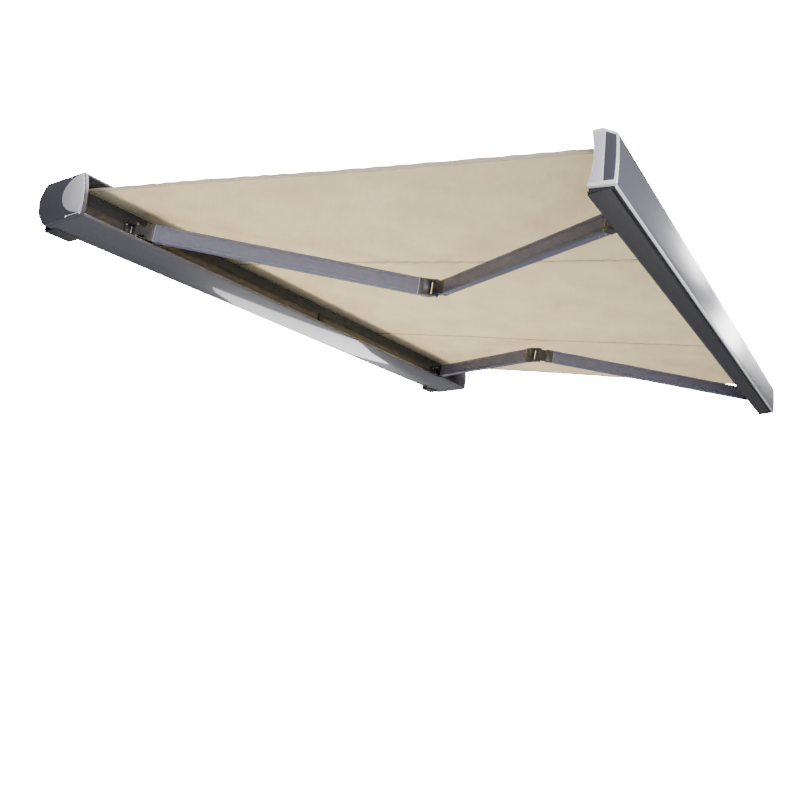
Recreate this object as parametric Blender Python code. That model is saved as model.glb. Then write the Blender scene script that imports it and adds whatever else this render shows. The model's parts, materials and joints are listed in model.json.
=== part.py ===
"""Folding arm awning with a full cassette, drawn out to its stop.

Frame: the wall is the plane Y = 0 and the origin lies on it, midway between the two wall
brackets and level with the middle of the cassette. +Z is up, the canopy runs out towards -Y
and the left end is at -X. All sizes are in metres.

The arms fold in a plane that is pitched down by PITCH. Points in that plane are given as
(x, s, h): x along the wall, s down the slope from the shoulder pins and h square to the plane.
"""
import math

import bmesh
import bpy
from mathutils import Matrix, Vector

# Driving dimensions
WIDTH = 4.0
PITCH = math.radians(11.0)
GAP = 0.0004
ARC_STEPS = 4

# Cassette: outline in (y, z), skin and end caps
TOP = 0.100
BOTTOM = -0.102
MOUTH_TOP = -0.311
MOUTH_BOTTOM = -0.304
MOUTH_BULGE = 0.014
REAR = -0.0085
REAR_CORNERS = (0.026, 0.060, 0.060, 0.022)
SKIN = 0.004
COVER_JOINT = -0.200
END_CAP = 0.020
END_TRIM = 0.002
TRIM_DEPTH = 0.132
COVER_LIP = 0.012
LIP_RADIUS = 0.004
GROMMET = (1.740, -0.070)
GROMMET_RADIUS = 0.010

# Arms: pin to pin length, the plane position of the shoulder pins and the two reaches
ARM = 1.500
SHOULDER_X = 1.620
SHOULDER_Y = -0.246
SHOULDER_Z = -0.025
OPEN_REACH = 2.413
FOLDED_REACH = 0.088
ARM_THICK = 0.036
REAR_ARM_HIGH = 0.087
FOREARM_HIGH = 0.078
ARM_WALL = 0.003
ELBOW_OFFSET = 0.023
PIN_RADIUS = 0.0075
PIN_FIT = 0.0004
EYE_HALF = 0.0215
BARREL_HALF = 0.0340
BARREL_EAR = 0.0346
WEB_START = 0.022
WEB_BACK = 0.016
WEB_SLANT = 0.0105
EAR_RADIUS = 0.018
EAR_START = 0.022
BRACKET_EAR = 0.012
SHOULDER_EAR_DEPTHS = (0.0370, 0.0310)
WRIST_EAR_DEPTHS = (-0.0642, -0.0682)
WRIST_BASE = (0.064, 0.154)
KNUCKLE_START = 0.055
KNUCKLE_END = 0.088
SPIGOT_END = 0.130

# Roller with the turns of cloth that stay on it
ROLLER_Y = -0.150
ROLLER_Z = 0.052
ROLLER_RADIUS = 0.039
ROLLER_WALL = 0.002
ROLL_RADIUS = 0.0405
ROLLER_HALF = 1.950
CLOTH_HALF = 1.900
CLOTH_THICK = 0.001
CLOTH_RISE = 0.026

# Carrier profile that the shoulder brackets hug
CARRIER_FRONT = -0.031
CARRIER_RADIUS = 0.075
CARRIER_MIDDLE = -0.010
CARRIER_SKIN = 0.005
CARRIER_TOP = 0.070

# Front bar, its outline in (y, z) as it stands when the awning is shut
BAR_INNER_TOP = (-0.340, 0.094)
BAR_PEAK = (-0.374, 0.0925)
BAR_FRONT_TOP = (-0.4186, 0.0645)
BAR_FRONT_BOTTOM = (-0.401, -0.099)
BAR_INNER_BOTTOM = (-0.312, -0.088)
BAR_HOLLOW = ((-0.330, -0.048), (-0.340, 0.003), (-0.342, 0.039))
BAR_FLOOR_EDGE = (-0.308, -0.108)
BAR_SKIN = 0.0035
BAR_BULGE = 0.003
BAR_TOP_JOINT = 0.004
BAR_LIP = 0.006
BAR_TOP_STEP = 0.0004
BAR_CAP = 0.022
RAIL_SLOPE_PLACE = 0.095
KEDER_RADIUS = 0.0035

# Wall brackets
BRACKET_X = 1.880
BRACKET_WIDE = 0.140
BRACKET_TOP = 0.132
BRACKET_THICK = 0.008
BOLT_SPACING = 0.090
BOLT_Z = 0.118
BOLT_RADIUS = 0.005

# Values worked out from the dimensions above
SLOPE = Vector((0.0, -math.cos(PITCH), -math.sin(PITCH)))
NORMAL = Vector((0.0, -math.sin(PITCH), math.cos(PITCH)))
SHOULDER_LINE = Vector((0.0, SHOULDER_Y, SHOULDER_Z))
OPEN_ANGLE = math.asin(OPEN_REACH / (2.0 * ARM))
TRAVEL = (OPEN_REACH - FOLDED_REACH) * SLOPE
HALF = WIDTH / 2.0
SHELL_HALF = HALF - END_CAP - GAP
BAR_HALF = HALF - BAR_CAP - GAP
ROLLER_CENTRE = Vector((0.0, ROLLER_Y, ROLLER_Z))
ROLLER_S = (ROLLER_CENTRE - SHOULDER_LINE).dot(SLOPE)
CLOTH_H = (ROLLER_CENTRE - SHOULDER_LINE).dot(NORMAL) + ROLL_RADIUS


def clear_scene():
    """Remove every object that the file opened with."""
    for obj in list(bpy.data.objects):
        bpy.data.objects.remove(obj, do_unlink=True)


def finish(name, colour, roughness, metallic):
    """Make one Principled material."""
    made = bpy.data.materials.new(name)
    made.use_nodes = True
    shader = made.node_tree.nodes["Principled BSDF"]
    shader.inputs["Base Color"].default_value = (*colour, 1.0)
    shader.inputs["Roughness"].default_value = roughness
    shader.inputs["Metallic"].default_value = metallic
    made.diffuse_color = (*colour, 1.0)
    return made


def axis_empty(name, origin, turn=None):
    """Make an empty whose origin is a joint's axis point and whose frame is turn."""
    empty = bpy.data.objects.new(name, None)
    bpy.context.collection.objects.link(empty)
    empty.matrix_world = Matrix.Translation(origin) @ (turn or Matrix()).to_4x4()
    return empty


def place_object(name, mesh, surface, parent=None):
    """Link one object with its finish, in its parent's frame."""
    obj = bpy.data.objects.new(name, mesh)
    bpy.context.collection.objects.link(obj)
    mesh.materials.append(surface)
    obj.parent = parent
    return obj


def mesh_from(bm, name):
    """Turn a bmesh into a mesh with its faces pointing out."""
    bmesh.ops.recalc_face_normals(bm, faces=bm.faces)
    mesh = bpy.data.meshes.new(name)
    bm.to_mesh(mesh)
    bm.free()
    return mesh


def prism(name, outline, start, end, point):
    """Extrude an outline of 2-D points; point(a, b, t) gives the place of a corner."""
    bm = bmesh.new()
    ring = [bm.verts.new(point(a, b, start)) for a, b in outline]
    face = bm.faces.new(ring)
    grown = bmesh.ops.extrude_face_region(bm, geom=[face])["geom"]
    far = [item for item in grown if isinstance(item, bmesh.types.BMVert)]
    shift = Vector(point(0.0, 0.0, end)) - Vector(point(0.0, 0.0, start))
    bmesh.ops.translate(bm, verts=far, vec=shift)
    return mesh_from(bm, name)


def pipe(name, outer, inner, start, end, point):
    """Make an open-ended hollow prism between two outlines with as many points."""
    bm = bmesh.new()
    rings = []
    for outline in (outer, inner):
        for t in (start, end):
            rings.append([bm.verts.new(point(a, b, t)) for a, b in outline])
    outer_a, outer_b, inner_a, inner_b = rings
    count = len(outer)
    for i in range(count):
        j = (i + 1) % count
        bm.faces.new((outer_a[i], outer_a[j], outer_b[j], outer_b[i]))
        bm.faces.new((inner_a[i], inner_b[i], inner_b[j], inner_a[j]))
        bm.faces.new((outer_a[i], inner_a[i], inner_a[j], outer_a[j]))
        bm.faces.new((outer_b[i], outer_b[j], inner_b[j], inner_b[i]))
    return mesh_from(bm, name)


def circle(radius, sides, centre=(0.0, 0.0)):
    """Give the corners of a round outline."""
    turns = [math.tau * i / sides for i in range(sides)]
    return [(centre[0] + radius * math.cos(t), centre[1] + radius * math.sin(t)) for t in turns]


def rounded(points, radii, closed=False, steps=ARC_STEPS):
    """Replace each corner of a polyline with an arc of the given radius."""
    corners = [Vector(p) for p in points]
    count = len(corners)
    path = []
    for i, corner in enumerate(corners):
        radius = radii[i]
        if radius == 0.0 or (not closed and i in (0, count - 1)):
            path.append(tuple(corner))
            continue
        back = (corners[i - 1] - corner).normalized()
        ahead = (corners[(i + 1) % count] - corner).normalized()
        half = back.angle(ahead) / 2.0
        centre = corner + (back + ahead).normalized() * radius / math.sin(half)
        first = corner + back * radius / math.tan(half) - centre
        sweep = math.pi - 2.0 * half
        turn = 1.0 if back.x * ahead.y - back.y * ahead.x < 0.0 else -1.0
        for k in range(steps + 1):
            spoke = first.copy()
            spoke.rotate(Matrix.Rotation(turn * sweep * k / steps, 2))
            path.append(tuple(centre + spoke))
    return path


def band(path, thick):
    """Give the closed outline of a sheet that lies to the left of a path."""
    points = [Vector(p) for p in path]
    inner = []
    for i, here in enumerate(points):
        before = points[max(i - 1, 0)]
        after = points[min(i + 1, len(points) - 1)]
        sides = []
        for a, b in ((before, here), (here, after)):
            if (b - a).length > 0.0:
                along = (b - a).normalized()
                sides.append(Vector((-along.y, along.x)))
        mitre = sum(sides, Vector((0.0, 0.0))).normalized()
        inner.append(tuple(here + mitre * thick / mitre.dot(sides[0])))
    return [tuple(p) for p in points] + inner[::-1]


def bow(start, end, rise, steps=8):
    """Give points on a shallow arc; a positive rise bulges towards -Y."""
    points = []
    for i in range(steps + 1):
        t = i / steps
        y = start[0] + (end[0] - start[0]) * t - 4.0 * rise * t * (1.0 - t)
        points.append((y, start[1] + (end[1] - start[1]) * t))
    return points


def hull(points):
    """Give the convex outline round 2-D points, anticlockwise."""
    ordered = sorted(set(points))
    halves = []
    for sweep in (ordered, ordered[::-1]):
        chain = []
        for p in sweep:
            while len(chain) > 1 and turn_of(chain[-2], chain[-1], p) <= 1e-12:
                chain.pop()
            chain.append(p)
        halves.append(chain[:-1])
    return halves[0] + halves[1]


def turn_of(a, b, c):
    """Give twice the signed area of a triangle."""
    return (b[0] - a[0]) * (c[1] - a[1]) - (b[1] - a[1]) * (c[0] - a[0])


def along_x(y, z, x):
    """Place a section point of a profile that runs along the wall."""
    return Vector((x, y, z))


def upright(x, y, z):
    """Place a point of an outline that is extruded upwards."""
    return Vector((x, y, z))


def on_bar(y, z, x):
    """Place a section point of the front bar, which is given as it stands when shut."""
    return Vector((x, y, z)) + TRAVEL


def on_slope(s, h, x):
    """Place a point of the arms' plane in the world."""
    return SHOULDER_LINE + s * SLOPE + h * NORMAL + Vector((x, 0.0, 0.0))


def combine(target, tool_mesh, operation):
    """Join a mesh to an object, or cut it out of the object, with a Boolean modifier."""
    tool = bpy.data.objects.new(target.name + "_tool", tool_mesh)
    bpy.context.collection.objects.link(tool)
    tool.parent = target.parent
    tool.hide_render = True
    tool.display_type = "WIRE"
    step = target.modifiers.new(operation.lower(), "BOOLEAN")
    step.operation = operation
    step.object = tool
    step.solver = "EXACT"
    return target


def smooth(mesh):
    """Shade a round piece smooth and keep its sharp edges."""
    mesh.shade_smooth()
    mesh.set_sharp_from_angle(angle=math.radians(35.0))
    return mesh


def in_frame(origin):
    """Give a placing function that works from a body's own origin."""
    return lambda point: (lambda a, b, t: point(a, b, t) - origin)


POWDER = finish("slate_powder_coat", (0.055, 0.058, 0.070), 0.42, 0.55)
CAP_PAINT = finish("dark_cap_paint", (0.040, 0.041, 0.052), 0.45, 0.30)
DARK_METAL = finish("black_casting", (0.020, 0.020, 0.022), 0.50, 0.40)
SILVER = finish("silver_trim", (0.62, 0.62, 0.66), 0.22, 0.90)
CHROME = finish("polished_trim", (0.75, 0.75, 0.78), 0.10, 1.0)
ZINC = finish("zinc_plated_steel", (0.55, 0.56, 0.58), 0.35, 0.90)
STEEL = finish("galvanised_steel", (0.42, 0.43, 0.45), 0.45, 0.85)
BLACK_PLASTIC = finish("black_plastic", (0.018, 0.018, 0.019), 0.55, 0.0)
RUBBER = finish("black_rubber", (0.012, 0.012, 0.012), 0.80, 0.0)
CANVAS = finish("cream_canvas", (0.66, 0.60, 0.46), 0.85, 0.0)


# ---- Cassette ----

def cassette_rear_path():
    """Give the outer path of the rear shell, from the cover joint round to the lower lip."""
    points = [
        (COVER_JOINT, TOP), (-0.055, TOP), (REAR, 0.036), (REAR, -0.034),
        (-0.046, BOTTOM), (MOUTH_BOTTOM, BOTTOM), (MOUTH_BOTTOM, BOTTOM + COVER_LIP),
    ]
    return rounded(points, [0.0, *REAR_CORNERS, LIP_RADIUS, 0.0])


def cassette_outline():
    """Give the closed side view of the cassette."""
    front = bow((MOUTH_BOTTOM, BOTTOM), (MOUTH_TOP, TOP), MOUTH_BULGE)
    rear = rounded(
        [(MOUTH_TOP, TOP), (-0.055, TOP), (REAR, 0.036), (REAR, -0.034), (-0.046, BOTTOM),
         (MOUTH_BOTTOM, BOTTOM)],
        [0.0, *REAR_CORNERS, 0.0],
    )
    return front + rear[1:-1]


def build_cassette():
    rear_shell = band(cassette_rear_path(), -SKIN)
    shell = place_object(
        "cassette_shell", prism("cassette_shell", rear_shell, -SHELL_HALF, SHELL_HALF, along_x), POWDER
    )
    grommet_hole = prism(
        "grommet_hole", circle(GROMMET_RADIUS + GAP, 20, GROMMET), BOTTOM - 0.01, BOTTOM + 0.02, upright
    )
    combine(shell, grommet_hole, "DIFFERENCE")
    cover_path = rounded(
        [(MOUTH_TOP, TOP - COVER_LIP), (MOUTH_TOP, TOP), (COVER_JOINT - GAP, TOP)],
        [0.0, LIP_RADIUS, 0.0],
    )
    place_object(
        "top_cover",
        prism("top_cover", band(cover_path, -SKIN), -SHELL_HALF, SHELL_HALF, along_x), POWDER,
    )
    for side, sign in (("left", -1.0), ("right", 1.0)):
        place_object(
            f"{side}_end_cap",
            prism(f"{side}_end_cap", cassette_outline(), sign * (SHELL_HALF + GAP), sign * HALF, along_x),
            CAP_PAINT,
        )
        place_object(f"{side}_end_trim", end_trim(side, sign), SILVER)
    build_grommet()


def end_trim(side, sign):
    """Make the half-oval silver panel that lies on an end cap beside the mouth."""
    low = (MOUTH_BOTTOM + 0.006, BOTTOM + 0.012)
    high = (MOUTH_TOP + 0.006, TOP - 0.006)
    bulge = []
    for i in range(1, 16):
        turn = math.pi * i / 16.0
        middle_z = (low[1] + high[1]) / 2.0
        half_high = (high[1] - low[1]) / 2.0
        bulge.append((high[0] + TRIM_DEPTH * math.sin(turn), middle_z + half_high * math.cos(turn)))
    start = sign * (HALF + GAP)
    outline = bow(low, high, MOUTH_BULGE) + bulge
    return prism(f"{side}_end_trim", outline, start, start + sign * END_TRIM, along_x)


def build_grommet():
    """The motor cable leaves through a rubber grommet in the cassette's underside."""
    body = pipe(
        "cable_grommet", circle(GROMMET_RADIUS, 20, GROMMET), circle(0.004, 20, GROMMET),
        BOTTOM - 0.003, BOTTOM + SKIN + 0.003, upright,
    )
    grommet = place_object("cable_grommet", smooth(body), RUBBER)
    lip = pipe(
        "grommet_lip", circle(0.014, 20, GROMMET), circle(0.0041, 20, GROMMET),
        BOTTOM - 0.0035, BOTTOM - GAP, upright,
    )
    combine(grommet, lip, "UNION")


# ---- Wall brackets and their bolts ----

def build_wall_brackets():
    hook_y = -0.075
    hook_z = BOTTOM - GAP
    profile = [
        (0.0, BRACKET_TOP), (-BRACKET_THICK, BRACKET_TOP), (-BRACKET_THICK, hook_z),
        (hook_y, hook_z), (hook_y, hook_z - 0.004), (0.0, hook_z - 0.004),
    ]
    for side, sign in (("left", -1.0), ("right", 1.0)):
        middle = sign * BRACKET_X
        bracket = place_object(
            f"{side}_wall_bracket",
            prism(
                f"{side}_wall_bracket", profile, middle - BRACKET_WIDE / 2.0,
                middle + BRACKET_WIDE / 2.0, along_x,
            ),
            DARK_METAL,
        )
        for number, offset in enumerate((-BOLT_SPACING / 2.0, BOLT_SPACING / 2.0), start=1):
            x = middle + offset
            hole = prism("hole", circle(BOLT_RADIUS + GAP, 16, (x, BOLT_Z)), 0.01, -0.02, facing_wall)
            combine(bracket, hole, "DIFFERENCE")
            build_wall_bolt(f"{side}_wall_bolt_{number}", x)


def facing_wall(x, z, y):
    """Place a point of an outline drawn on the wall."""
    return Vector((x, y, z))


def build_wall_bolt(name, x):
    """A hexagon head and a washer on a shank that ends flush with the wall face."""
    head_y = -BRACKET_THICK - GAP
    shank = prism("shank", circle(BOLT_RADIUS, 16, (x, BOLT_Z)), 0.0, head_y - 0.002, facing_wall)
    bolt = place_object(name, shank, ZINC)
    washer = prism("washer", circle(0.0115, 20, (x, BOLT_Z)), head_y, head_y - 0.0025, facing_wall)
    combine(bolt, washer, "UNION")
    head = prism(
        "head", circle(0.0098, 6, (x, BOLT_Z)), head_y - 0.0015, head_y - 0.0095, facing_wall
    )
    combine(bolt, head, "UNION")


# ---- Arm carrier, shoulder brackets and cradle ----

def carrier_arc(radius, low, high, steps=12):
    """Give (y, z) points of an arc about the carrier's middle, turned with the arms' plane."""
    points = []
    for i in range(steps + 1):
        turn = math.radians(low + (high - low) * i / steps)
        s = CARRIER_FRONT - CARRIER_RADIUS + radius * math.cos(turn)
        h = CARRIER_MIDDLE + radius * math.sin(turn)
        place = on_slope(s, h, 0.0)
        points.append((place.y, place.z))
    return points


def crescent(name, centre_x, half_width, depth):
    """Make a bracket base that hugs the carrier and is thickest at its middle."""
    low, high = -42.0, 32.0
    back = carrier_arc(CARRIER_RADIUS + GAP, low, high)
    front = []
    for i, (y, z) in enumerate(back):
        belly = 0.004 + (depth - 0.004) * math.sin(math.pi * i / (len(back) - 1))
        front.append((y - belly * math.cos(PITCH), z - belly * math.sin(PITCH)))
    return prism(name, back + front[::-1], centre_x - half_width, centre_x + half_width, along_x)


def build_carrier():
    outer = carrier_arc(CARRIER_RADIUS, -50.0, 34.0)
    inner = carrier_arc(CARRIER_RADIUS - CARRIER_SKIN, -50.0, 34.0)
    outer.append((outer[-1][0], CARRIER_TOP))
    inner.append((outer[-1][0] + CARRIER_SKIN, CARRIER_TOP))
    floor_z = BOTTOM + SKIN + GAP
    foot = [(inner[0][0], floor_z), (outer[0][0], floor_z)]
    place_object(
        "arm_carrier",
        prism("arm_carrier", foot + outer + inner[::-1], GAP - SHELL_HALF, SHELL_HALF - GAP, along_x),
        DARK_METAL,
    )
    place_object("arm_cradle", crescent("arm_cradle", 0.0, 0.030, 0.009), BLACK_PLASTIC)


def pin_mesh(name, half_high):
    """Make a pivot pin about the local Z axis, with a head at each end."""
    bm = bmesh.new()
    profile = [
        (0.0, -half_high), (0.011, -half_high), (0.011, -half_high + 0.003),
        (PIN_RADIUS, -half_high + 0.003), (PIN_RADIUS, half_high - 0.003),
        (0.011, half_high - 0.003), (0.011, half_high), (0.0, half_high),
    ]
    verts = [bm.verts.new((r, 0.0, z)) for r, z in profile]
    edges = [bm.edges.new(pair) for pair in zip(verts, verts[1:])]
    bmesh.ops.spin(
        bm, geom=verts + edges, cent=(0.0, 0.0, 0.0), axis=(0.0, 0.0, 1.0), angle=math.tau,
        steps=16, use_duplicate=False,
    )
    bmesh.ops.remove_doubles(bm, verts=bm.verts, dist=0.00001)
    return smooth(mesh_from(bm, name))


def plane_frame(x_direction):
    """Give the turn whose X is a direction in the arms' plane and whose Z is its normal."""
    y_direction = NORMAL.cross(x_direction)
    return Matrix((x_direction, y_direction, NORMAL)).transposed()


def flat(u, v, h):
    """Place a plan point in an arm's own frame."""
    return Vector((u, v, h))


def build_pivot_bracket(side, sign, kind, origin, ear_depths):
    """Build a base and two ears that hold a pin; the depths say how far each ear runs into it."""
    frame = axis_empty(f"{side}_{kind}_seat", origin, plane_frame(Vector((1.0, 0.0, 0.0))))
    name = f"{side}_{kind}_bracket"
    if kind == "shoulder":
        base = crescent(name, sign * SHOULDER_X, 0.052, 0.010)
    else:
        base = wrist_base(name, sign)
    base.transform(frame.matrix_world.inverted())
    bracket = place_object(name, base, DARK_METAL, frame)
    for low, depth in zip((EAR_START, -EAR_START - BRACKET_EAR), ear_depths):
        root = (depth, depth - math.copysign(0.008, depth))
        plan = hull(circle(0.020, 20) + [(x, v) for x in (-0.034, 0.034) for v in root])
        combine(bracket, prism("ear", plan, low, low + BRACKET_EAR, flat), "UNION")
    hole = prism("hole", circle(PIN_RADIUS + PIN_FIT, 16), -0.08, 0.08, flat)
    combine(bracket, hole, "DIFFERENCE")
    half_pin = EAR_START + BRACKET_EAR + GAP + 0.003
    place_object(f"{side}_{kind}_pin", pin_mesh(f"{side}_{kind}_pin", half_pin), ZINC, frame)


def wrist_base(name, sign):
    """Make the plate that lies against the inside of the front bar's face."""
    top = Vector(BAR_FRONT_TOP)
    along = (Vector(BAR_FRONT_BOTTOM) - top).normalized()
    inward = Vector((-along.y, along.x))
    start, end = (top + inward * (BAR_SKIN + 0.0012) + along * place for place in WRIST_BASE)
    profile = [tuple(p) for p in (start, end, end + inward * 0.007, start + inward * 0.007)]
    middle = sign * SHOULDER_X
    return prism(name, profile, middle - 0.045, middle + 0.045, on_bar)


# ---- Folding arms ----

def box_outline(low_a, high_a, low_b, high_b, radius):
    """Give a rectangle with rounded corners."""
    corners = [(low_a, low_b), (high_a, low_b), (high_a, high_b), (low_a, high_b)]
    return rounded(corners, [radius] * 4, closed=True, steps=2)


def end_fitting(name, surface, parent, side, pin_u, inward, centre_v, half_high, eye_half):
    """Build the casting at one end of an arm tube; it ends in an eye, or in a fork if eye_half is 0."""
    forked = eye_half == 0.0
    half = ARM_THICK / 2.0 - 0.0002
    block_v = (centre_v * side - half, centre_v * side + half)
    lengths = [pin_u + inward * d for d in (KNUCKLE_START - 0.010, KNUCKLE_END)]
    neck = [pin_u + inward * d for d in (KNUCKLE_START, KNUCKLE_START + 0.012)]
    plan = hull(circle(EAR_RADIUS, 20, (pin_u, 0.0)) + [(u, v) for u in neck for v in block_v])
    if forked:
        inner_v, outer_v = sorted(block_v, key=abs)
        web = pin_u + inward * WEB_START
        block = [(web + inward * WEB_BACK, inner_v), (lengths[1], inner_v), (lengths[1], outer_v),
                 (web, outer_v), (web, inner_v + side * WEB_SLANT)]
        ears = ((BARREL_EAR, half_high), (-half_high, -BARREL_EAR))
    else:
        block = [(lengths[0], block_v[0]), (lengths[1], block_v[0]), (lengths[1], block_v[1]),
                 (lengths[0], block_v[1])]
        ears = ((-eye_half, eye_half),)
    fitting = place_object(name, prism(name, block, -half_high, half_high, flat), surface, parent)
    for low, high in ears:
        combine(fitting, prism("ear", plan, low, high, flat), "UNION")
    wall = ARM_WALL + 0.0006
    spigot = [pin_u + inward * d for d in (KNUCKLE_END - 0.006, SPIGOT_END)]
    inner = [(u, v) for u, v in (
        (spigot[0], block_v[0] + wall), (spigot[1], block_v[0] + wall),
        (spigot[1], block_v[1] - wall), (spigot[0], block_v[1] - wall))]
    combine(fitting, prism("spigot", inner, -half_high + wall, half_high - wall, flat), "UNION")
    hole = prism("hole", circle(PIN_RADIUS + PIN_FIT, 16, (pin_u, 0.0)), -0.08, 0.08, flat)
    return combine(fitting, hole, "DIFFERENCE")


def arm_tube(name, surface, parent, start_v, end_v, half_high):
    """Build a rectangular tube between two end fittings, its ends offset in plan."""
    half = ARM_THICK / 2.0
    start = KNUCKLE_END + GAP
    end = ARM - KNUCKLE_END - GAP
    rise = (end_v - start_v) / (end - start)
    outer = box_outline(-half, half, -half_high, half_high, 0.004)
    inner = box_outline(
        -half + ARM_WALL, half - ARM_WALL, -half_high + ARM_WALL, half_high - ARM_WALL, 0.0015
    )

    def along_arm(v, h, u):
        return Vector((u, v + start_v + rise * (u - start), h))

    return place_object(name, pipe(name, outer, inner, start, end, along_arm), surface, parent)


def rod(name, surface, parent, radius, start, end):
    """Build a round bar between two points of an arm's frame."""
    bm = bmesh.new()
    run = end - start
    turn = Vector((0.0, 0.0, 1.0)).rotation_difference(run).to_matrix().to_4x4()
    bmesh.ops.create_cone(
        bm, cap_ends=True, segments=14, radius1=radius, radius2=radius, depth=run.length,
        matrix=Matrix.Translation((start + end) / 2.0) @ turn,
    )
    return place_object(name, smooth(mesh_from(bm, name)), surface, parent)


def build_arm(side, sign):
    """Build one rear arm and one forearm, each in the frame of its own joint axis."""
    outboard = Vector((sign, 0.0, 0.0))
    lean = math.cos(OPEN_ANGLE) * outboard
    rear_way = -lean + math.sin(OPEN_ANGLE) * SLOPE
    fore_way = lean + math.sin(OPEN_ANGLE) * SLOPE
    shoulder = on_slope(0.0, 0.0, sign * SHOULDER_X)
    elbow = shoulder + ARM * rear_way
    offset_way = -sign
    rear = axis_empty(f"{side}_shoulder_axis", shoulder, plane_frame(rear_way))
    fore = axis_empty(f"{side}_elbow_axis", elbow, plane_frame(fore_way))
    share = KNUCKLE_END / ARM
    near_v = ELBOW_OFFSET * share
    far_v = ELBOW_OFFSET * (1.0 - share)
    rear_half = REAR_ARM_HIGH / 2.0
    fore_half = FOREARM_HIGH / 2.0
    end_fitting(f"{side}_shoulder_knuckle", DARK_METAL, rear, offset_way, 0.0, 1.0, near_v,
                rear_half - 0.0005, EYE_HALF)
    arm_tube(f"{side}_rear_arm_tube", POWDER, rear, offset_way * near_v, offset_way * far_v, rear_half)
    end_fitting(f"{side}_elbow_fork", POWDER, rear, offset_way, ARM, -1.0, far_v,
                rear_half - 0.0005, 0.0)
    elbow_pin = pin_mesh(f"{side}_elbow_pin", rear_half + 0.0029)
    elbow_pin.transform(Matrix.Translation((ARM, 0.0, 0.0)))
    place_object(f"{side}_elbow_pin", elbow_pin, ZINC, rear)
    spring_line = [Vector((u, offset_way * ELBOW_OFFSET * u / ARM, 0.0)) for u in (0.20, 1.10, 1.102, 1.30)]
    rod(f"{side}_arm_spring", STEEL, rear, 0.0125, spring_line[0], spring_line[1])
    rod(f"{side}_arm_cable", STEEL, rear, 0.0025, spring_line[2], spring_line[3])
    end_fitting(f"{side}_elbow_tongue", POWDER, fore, offset_way, 0.0, 1.0, far_v,
                fore_half - 0.0005, BARREL_HALF)
    arm_tube(f"{side}_forearm_tube", POWDER, fore, offset_way * far_v, offset_way * near_v, fore_half)
    end_fitting(f"{side}_wrist_knuckle", DARK_METAL, fore, offset_way, ARM, -1.0, near_v,
                fore_half - 0.0005, EYE_HALF)


# ---- Roller, motor and end bearings ----

def build_roller():
    spin = axis_empty("roller_axis", ROLLER_CENTRE)
    tube = pipe("roller_tube", circle(ROLLER_RADIUS, 28), circle(ROLLER_RADIUS - ROLLER_WALL, 28),
                -ROLLER_HALF, ROLLER_HALF, along_x)
    place_object("roller_tube", smooth(tube), STEEL, spin)
    cloth = pipe("fabric_roll", circle(ROLL_RADIUS, 28), circle(ROLLER_RADIUS + 0.0003, 28),
                 -CLOTH_HALF, CLOTH_HALF, along_x)
    place_object("fabric_roll", smooth(cloth), CANVAS, spin)
    inside = circle(ROLLER_RADIUS - ROLLER_WALL - 0.0005, 28)
    fittings = (
        ("idler_plug", 0.0066, -ROLLER_HALF + 0.002, -1.900),
        ("drive_crown", 0.0086, 1.260, 1.278),
        ("motor_ring", 0.0296, 1.925, ROLLER_HALF - 0.002),
    )
    for name, bore, start, end in fittings:
        body = pipe(name, inside, circle(bore, 28), start, end, along_x)
        place_object(name, smooth(body), BLACK_PLASTIC, spin)


def build_roller_supports():
    plate_outer = SHELL_HALF - GAP
    plate_inner = plate_outer - 0.018
    plate = [(ROLLER_Y - 0.034, ROLLER_Z - 0.034), (ROLLER_Y + 0.034, ROLLER_Z - 0.034),
             (ROLLER_Y + 0.034, ROLLER_Z + 0.034), (ROLLER_Y - 0.034, ROLLER_Z + 0.034)]
    centre = (ROLLER_Y, ROLLER_Z)
    idler = place_object(
        "idler_bracket", prism("idler_bracket", plate, -plate_outer, -plate_inner, along_x), DARK_METAL
    )
    combine(idler, prism("stub", circle(0.006, 16, centre), -plate_inner - 0.004, -1.905, along_x), "UNION")
    place_object(
        "motor_bracket", prism("motor_bracket", plate, plate_inner, plate_outer, along_x), DARK_METAL
    )
    motor = place_object(
        "motor", prism("motor", circle(0.029, 28, centre), 1.300, plate_inner - GAP, along_x), STEEL
    )
    combine(motor, prism("output", circle(0.008, 16, centre), 1.262, 1.305, along_x), "UNION")


# ---- Canopy ----

def build_canopy():
    """The cloth runs straight from the top of the roll to the groove in the front bar."""
    reach = OPEN_REACH - FOLDED_REACH
    start = ROLLER_S + 0.0006
    end = RAIL_SLOPE_PLACE - KEDER_RADIUS - 0.0006 + reach
    low = CLOTH_H + 0.0003
    high = low + CLOTH_RISE
    section = [(start, low), (end, high), (end, high + CLOTH_THICK), (start, low + CLOTH_THICK)]
    place_object("canopy", prism("canopy", section, -CLOTH_HALF, CLOTH_HALF, on_slope), CANVAS)


# ---- Front bar ----

def bar_outline():
    """Give the closed side view of the front bar as it stands when shut."""
    face = bow(BAR_FRONT_TOP, BAR_FRONT_BOTTOM, BAR_BULGE)
    return face + [BAR_INNER_BOTTOM, *BAR_HOLLOW, BAR_INNER_TOP, BAR_PEAK]


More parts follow.
